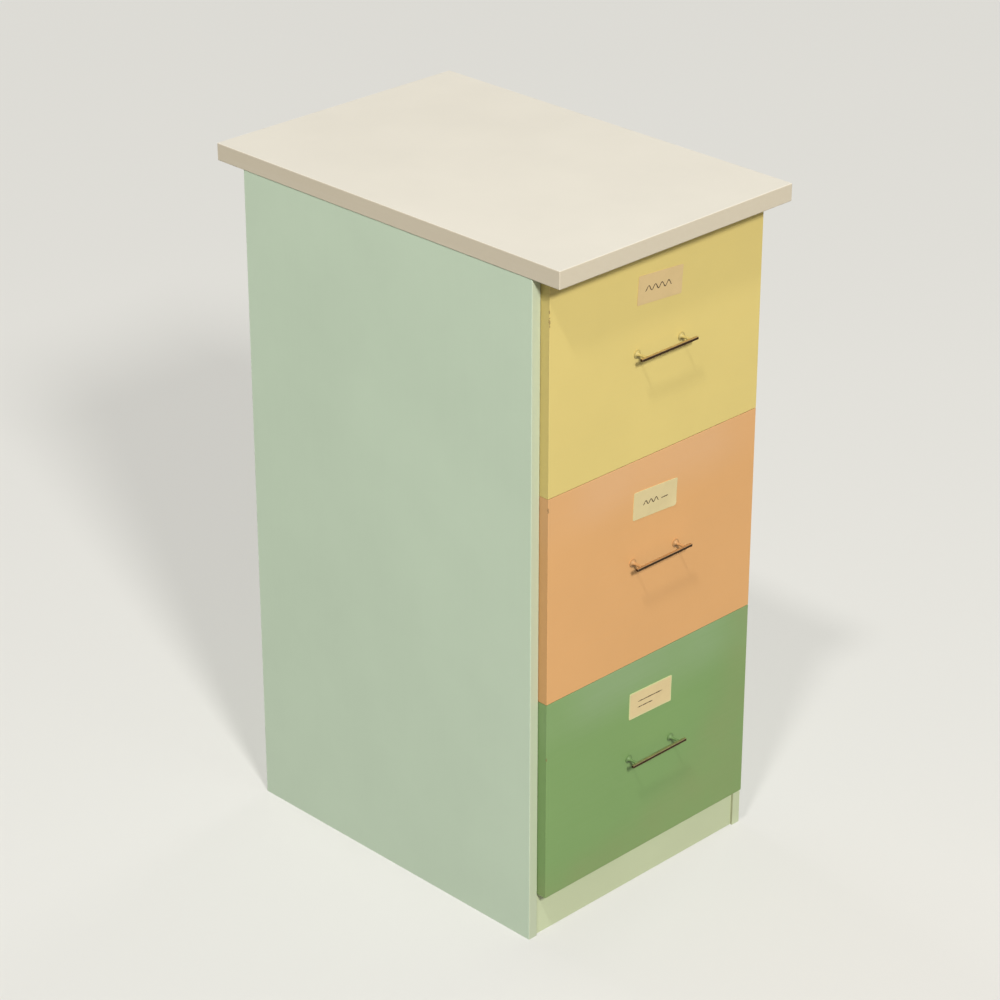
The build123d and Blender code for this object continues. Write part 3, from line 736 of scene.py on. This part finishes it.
def card_face(node, lifts, worn):
    """A function from shares across and up a card, and a height above it, to a point.

    The lifts say how far each corner has come off the drawer front, as shares of the card's curl. The worn
    shares say how round each corner is.
    """
    low_left, low_right, up_left, up_right = card_corners(node)
    width = (low_right - low_left).length
    height = (up_left - low_left).length
    reach = 0.6 * height
    corners = ((0, 0), (1, 0), (0, 1), (1, 1))

    def at(across, up, above=0.0):
        rise = above
        for lift, wear, (corner_across, corner_up) in zip(lifts, worn, corners):
            in_across, in_up = abs(across - corner_across) * width, abs(up - corner_up) * height
            rise += lift * sizes().card_curl * max(0.0, 1 - math.hypot(in_across, in_up) / reach) ** 2
            radius = wear * sizes().card_corner
            out_across, out_up = max(0.0, radius - in_across), max(0.0, radius - in_up)
            out = math.hypot(out_across, out_up)
            if out_across and out_up and out > radius:
                across = abs(corner_across - (radius - out_across * radius / out) / width)
                up = abs(corner_up - (radius - out_up * radius / out) / height)
        point = low_left.lerp(low_right, across).lerp(up_left.lerp(up_right, across), up)
        point.y -= rise
        return point

    return at


def card_sheet(at, thickness):
    """A builder of the card itself, a thin closed sheet that follows its curled face."""
    columns, rows = 36, 18

    def layer_at(shape, above):
        return [
            [shape.verts.new(at(i / columns, j / rows, above)) for i in range(columns + 1)]
            for j in range(rows + 1)
        ]

    def build(shape):
        bleached = shape.verts.layers.float.new("rim")
        layers = [layer_at(shape, above) for above in (0.0, -thickness)]
        rims = []
        for layer in layers:
            for row, following in zip(layer, layer[1:]):
                for i in range(columns):
                    face = shape.faces.new((row[i], row[i + 1], following[i + 1], following[i]))
                    face.smooth = True
            right = [row[-1] for row in layer[1:-1]]
            left = [row[0] for row in layer[-2:0:-1]]
            rims.append(layer[0] + right + layer[-1][::-1] + left)
        join_rings(shape, *rims)
        for rim in rims:
            for here, there in zip(rim, rim[1:] + rim[:1]):
                here[bleached] = 1.0
                shape.edges.get((here, there)).smooth = False

    return build


def join_rings(shape, first, second):
    """Quads between two closed rings of as many points."""
    count = len(first)
    for i in range(count):
        following = (i + 1) % count
        shape.faces.new((first[i], first[following], second[following], second[i]))


def wave(left, right, level, rise, humps):
    """A pen stroke of like humps, as shares across and up a card."""
    steps = 16 * humps
    return [
        (left + (right - left) * k / steps, level + rise * (1 - math.cos(math.tau * humps * k / steps)) / 2)
        for k in range(steps + 1)
    ]


def rule(left, right, level, slope):
    """A straight pen stroke, as shares across and up a card."""
    steps = 24
    return [(left + (right - left) * k / steps, level + slope * k / steps) for k in range(steps + 1)]


def pen_line(at, strokes):
    """A builder of pen strokes, each a low closed ridge of dried ink with tapered ends."""
    size = sizes()

    def build(shape):
        for stroke in strokes:
            last = len(stroke) - 1
            rings = []
            for k, (across, up) in enumerate(stroke):
                before, after = stroke[max(k - 1, 0)], stroke[min(k + 1, last)]
                run = (at(*after) - at(*before)).normalized()
                sideways = run.cross(Vector((0, -1, 0))).normalized()
                # A stroke thins over its first and last points, and the hand bears harder now and then.
                taper = min(1.0, 0.3 + min(k, last - k) / 4)
                pressure = 0.85 + 0.15 * math.sin(0.7 * k)
                half = sideways * (size.pen / 2 * taper * pressure)
                middle = at(across, up)
                crown, root = at(across, up, size.ink_crown), at(across, up, -size.ink_root)
                outline = (middle + half, crown, middle - half, root)
                rings.append([shape.verts.new(place) for place in outline])
            for ring, following in zip(rings, rings[1:]):
                join_rings(shape, ring, following)
            shape.faces.new(rings[0])
            shape.faces.new(rings[-1])

    return build


class CABINET_OT_make_cards(bpy.types.Operator):
    """Make the curled cards on the drawer fronts, with a plain pen stroke or two on each"""

    bl_idname = "cabinet.make_cards"
    bl_label = "Make Cards"

    def execute(self, context):
        # Lift and wear of the corners, share of bleach in the rim, and pen strokes.
        marks = {
            "upper": ((0.3, 0.6, 0.2, 0.4), (1, 1.6, 1, 1), 0.0, [wave(0.16, 0.76, 0.42, 0.17, 4)]),
            "middle": (
                (0.3, 2.4, 0.2, 0.8), (1, 4.6, 1, 1.4), 0.3,
                [wave(0.22, 0.58, 0.44, 0.14, 3), rule(0.64, 0.8, 0.47, 0.02)],
            ),
            "lower": (
                (0.5, 0.9, 0.3, 0.6), (1, 1.4, 1, 1), 0.95,
                [rule(0.2, 0.78, 0.58, 0.01), rule(0.2, 0.56, 0.36, 0.0)],
            ),
        }
        ink = pen_ink()
        for drawer in DRAWERS:
            lifts, worn, bleach, strokes = marks[drawer]
            node = drawer + "_label_card"
            body = drawer + "_drawer"
            low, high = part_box(node)
            at = card_face(node, lifts, worn)
            stock = uncoated_card(drawer, getattr(colours(), drawer + "_card"), bleach)
            card = new_piece(drawer + "_curled_card", card_sheet(at, high.y - low.y), stock, body)
            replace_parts(card, node)
            new_piece(drawer + "_pen_strokes", pen_line(at, strokes), ink, body)
        return {"FINISHED"}


# Screws

def islands(node):
    """The separate solids of a node, each as a list of its points."""
    shape = bmesh.new()
    shape.from_mesh(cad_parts[node].data)
    bmesh.ops.remove_doubles(shape, verts=shape.verts, dist=SAME_POINT)
    seen = set()
    groups = []
    for start in shape.verts:
        if start in seen:
            continue
        seen.add(start)
        group = [start]
        for vert in group:
            for edge in vert.link_edges:
                other = edge.other_vert(vert)
                if other not in seen:
                    seen.add(other)
                    group.append(other)
        groups.append([vert.co.copy() for vert in group])
    shape.free()
    return groups


def recess_outline():
    """The outline of a cross recess, as shares of the head's radius, going round it."""
    arm, half = 0.52, 0.13
    middle = (arm + half) / 2
    points = [(arm, -half), (arm, 0.0), (arm, half), (middle, half), (half, half), (half, middle)]
    outline = []
    for quarter in range(4):
        outline += points
        points = [(-y, x) for x, y in points]
    return outline


def screw_measures(points):
    """Where a screw of the construction starts, which way it runs and how large it is."""
    low = Vector([min(point[axis] for point in points) for axis in range(3)])
    high = Vector([max(point[axis] for point in points) for axis in range(3)])
    along = max(range(3), key=lambda axis: (high - low)[axis])
    middle = (low + high) / 2
    line = Vector([1.0 if axis == along else 0.0 for axis in range(3)])

    def radius(point):
        return (point - middle - line * (point - middle).dot(line)).length

    head = max(radius(point) for point in points)
    nearly_head = 0.9 * head
    tip_at_high = max(radius(p) for p in points if p[along] > high[along] - SAME_PLANE) < nearly_head
    direction = line if tip_at_high else -line
    length = (high - low)[along]
    top = middle - direction * length / 2
    shank = max(radius(p) for p in points if (p - top).dot(direction) > length - SAME_PLANE)
    seat = max((p - top).dot(direction) for p in points if radius(p) > nearly_head)
    return top, direction, length, head, seat, shank


def pan_head_screw(shape, points):
    """A screw with a domed head, a cross recess and a point, in the place of a plain one."""
    top, direction, length, head, seat, shank = screw_measures(points)
    first = direction.orthogonal().normalized()
    second = direction.cross(first)
    outline = recess_outline()
    turns = [math.atan2(y, x) for x, y in outline]
    cross = [(head * x, head * y) for x, y in outline]

    def ring(flat, depth):
        middle = top + direction * depth
        return [shape.verts.new(middle + first * x + second * y) for x, y in flat]

    def circle(radius, depth):
        return ring([(radius * math.cos(turn), radius * math.sin(turn)) for turn in turns], depth)

    mouth, bottom, taper = 0.02 * seat, 0.65 * seat, 0.8
    tip_length, tip_radius = 2.5 * shank, 0.15 * shank
    rings = [
        ring([(taper * x, taper * y) for x, y in cross], bottom),
        ring(cross, mouth),
        *(circle(radius * head, depth * seat) for radius, depth in SCREW_DOME),
        circle(shank, seat),
        circle(shank, length - tip_length),
        circle(tip_radius, length),
    ]
    for above, below in zip(rings, rings[1:]):
        join_rings(shape, above, below)
    shape.faces.new(rings[0])
    shape.faces.new(rings[-1])


def screw_set(node):
    """A builder of all the screws of a node."""

    def build(shape):
        for points in islands(node):
            pan_head_screw(shape, points)

    return build


class CABINET_OT_make_screws(bpy.types.Operator):
    """Make the screws, with cross recesses, in the places that the construction gives"""

    bl_idname = "cabinet.make_screws"
    bl_label = "Make Screws"

    def execute(self, context):
        zinc = zinc_screw_steel()
        riding = {"carcass_screws": "carcass"}
        for drawer in DRAWERS:
            for ending in ("box_screws", "handle_screws"):
                riding[f"{drawer}_{ending}"] = drawer + "_drawer"
        for node, body in riding.items():
            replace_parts(new_piece(node + "_recessed", screw_set(node), zinc, body), node)
        return {"FINISHED"}


# Studio

def lamp(name, azimuth, elevation, distance, width, power, glint):
    """A round soft lamp that faces the middle of the cabinet, and leaves a highlight on gloss or none."""
    light = bpy.data.lights.new(name, "AREA")
    light.shape = "DISK"
    light.size = width
    light.energy = power
    holder = bpy.data.objects.new(name, light)
    holder.visible_glossy = glint
    aim(holder, azimuth, elevation, distance)


def aim(holder, azimuth, elevation, distance):
    """Put a lamp or camera at a direction and distance from the middle of the cabinet, facing it."""
    flat = math.cos(elevation)
    back = Vector((math.sin(azimuth) * flat, -math.cos(azimuth) * flat, math.sin(elevation)))
    holder.location = (cad_low + cad_high) / 2 + back * distance
    holder.rotation_euler = (math.pi / 2 - elevation, 0.0, azimuth)
    bpy.context.scene.collection.objects.link(holder)


def seen_directly(tree):
    """One where a ray comes from the camera, a mirror or glass, and nothing where it carries soft light."""
    path = add(tree, "LightPath").outputs
    shiny = add(tree, "Math", {0: path["Is Glossy Ray"], 1: path["Is Transmission Ray"]}, operation="MAXIMUM")
    return add(tree, "Math", {0: path["Is Camera Ray"], 1: shiny}, operation="MAXIMUM")


def studio_paper():
    """Studio paper, matte.

    Seen directly it is pale and fades into the backdrop. It throws less light back up than it shows.
    """
    colour = colours()
    stage = bpy.context.scene.cabinet_stage
    darkest, lightest, thrown_back = (scaled(colour.floor, share) for share in (0.54, 0.56, 0.26))
    near_glow, far_glow = 0.41, 1.0
    material, tree, shader, place = new_material("Studio paper, matte")
    cloud = add(tree, "TexNoise", {"Vector": place, "Scale": 0.8, "Detail": 2.0})
    reach = add(tree, "VectorMath", {0: place}, operation="LENGTH")
    far = add(tree, "MapRange", {
        0: reach, 1: stage.fade_start, 2: stage.fade_end, 3: 0.0, 4: 1.0,
    }, interpolation_type="SMOOTHSTEP")
    direct = seen_directly(tree)
    pale = add(tree, "Mix", {0: cloud, 6: darkest, 7: lightest}, data_type="RGBA")
    fading = add(tree, "Mix", {0: far, 6: pale, 7: (0, 0, 0)}, data_type="RGBA")
    shown = add(tree, "Mix", {0: direct, 6: thrown_back, 7: fading}, data_type="RGBA")
    glow = add(tree, "MapRange", {0: far, 1: 0.0, 2: 1.0, 3: near_glow, 4: far_glow})
    strength = add(tree, "Math", {0: direct, 1: glow}, operation="MULTIPLY")
    plug(shader, {
        "Base Color": shown, "Emission Color": colour.wall, "Emission Strength": strength,
        "Roughness": 0.95, "Specular IOR Level": 0.0,
    })
    return material


class CABINET_OT_set_stage(bpy.types.Operator):
    """Set up the floor, the lamps and the camera"""

    bl_idname = "cabinet.set_stage"
    bl_label = "Set Stage"

    def execute(self, context):
        stage = context.scene.cabinet_stage
        mesh = bpy.data.meshes.new("studio_floor")
        shape = bmesh.new()
        bmesh.ops.create_grid(shape, x_segments=8, y_segments=8, size=stage.floor_reach)
        shape.to_mesh(mesh)
        shape.free()
        mesh.materials.append(studio_paper())
        floor = bpy.data.objects.new("studio_floor", mesh)
        context.scene.collection.objects.link(floor)

        for name, (azimuth, elevation, width, glint) in LAMPS.items():
            lamp(
                name + "_lamp", math.radians(azimuth), math.radians(elevation), stage.lamp_distance, width,
                getattr(stage, name + "_power"), glint,
            )

        world = bpy.data.worlds.new("studio")
        context.scene.world = world
        world.use_nodes = True
        tree = world.node_tree
        tree.nodes.clear()
        wall = colours().wall
        even = add(tree, "Background", {"Color": wall, "Strength": stage.surround})
        shown = add(tree, "Background", {"Color": wall, "Strength": 1.0})
        mixed = add(tree, "MixShader", {0: seen_directly(tree), 1: even, 2: shown})
        add(tree, "OutputWorld", {"Surface": mixed})

        camera = bpy.data.cameras.new("camera")
        camera.sensor_width = stage.sensor
        camera.lens = stage.lens
        holder = bpy.data.objects.new("camera", camera)
        aim(holder, stage.azimuth, stage.elevation, stage.distance)
        context.scene.camera = holder
        context.scene.view_settings.view_transform = "Standard"
        return {"FINISHED"}


STEPS = (
    CABINET_OT_paint_carcass,
    CABINET_OT_paint_drawer_fronts,
    CABINET_OT_finish_drawer_boxes,
    CABINET_OT_finish_metal,
    CABINET_OT_make_cards,
    CABINET_OT_make_screws,
    CABINET_OT_set_stage,
)


class CABINET_PT_steps(bpy.types.Panel):
    """The steps that finish the cabinet"""

    bl_idname = "CABINET_PT_steps"
    bl_label = "Filing Cabinet"
    bl_space_type = "VIEW_3D"
    bl_region_type = "UI"
    bl_category = "Cabinet"

    def draw(self, context):
        for step in STEPS:
            self.layout.operator(step.bl_idname)


CLASSES = (CabinetColours, CabinetSizes, CabinetStage, *STEPS, CABINET_PT_steps)


def register():
    """Register the classes and the scene's settings."""
    for kind in CLASSES:
        bpy.utils.register_class(kind)
    bpy.types.Scene.cabinet_colours = bpy.props.PointerProperty(type=CabinetColours)
    bpy.types.Scene.cabinet_sizes = bpy.props.PointerProperty(type=CabinetSizes)
    bpy.types.Scene.cabinet_stage = bpy.props.PointerProperty(type=CabinetStage)


def unregister():
    """Remove the scene's settings and the classes."""
    del bpy.types.Scene.cabinet_stage
    del bpy.types.Scene.cabinet_sizes
    del bpy.types.Scene.cabinet_colours
    for kind in reversed(CLASSES):
        bpy.utils.unregister_class(kind)


def main():
    """Finish the cabinet and set the stage."""
    register()
    for step in STEPS:
        group, name = step.bl_idname.split(".")
        getattr(getattr(bpy.ops, group), name)()


if __name__ == "__main__":
    main()
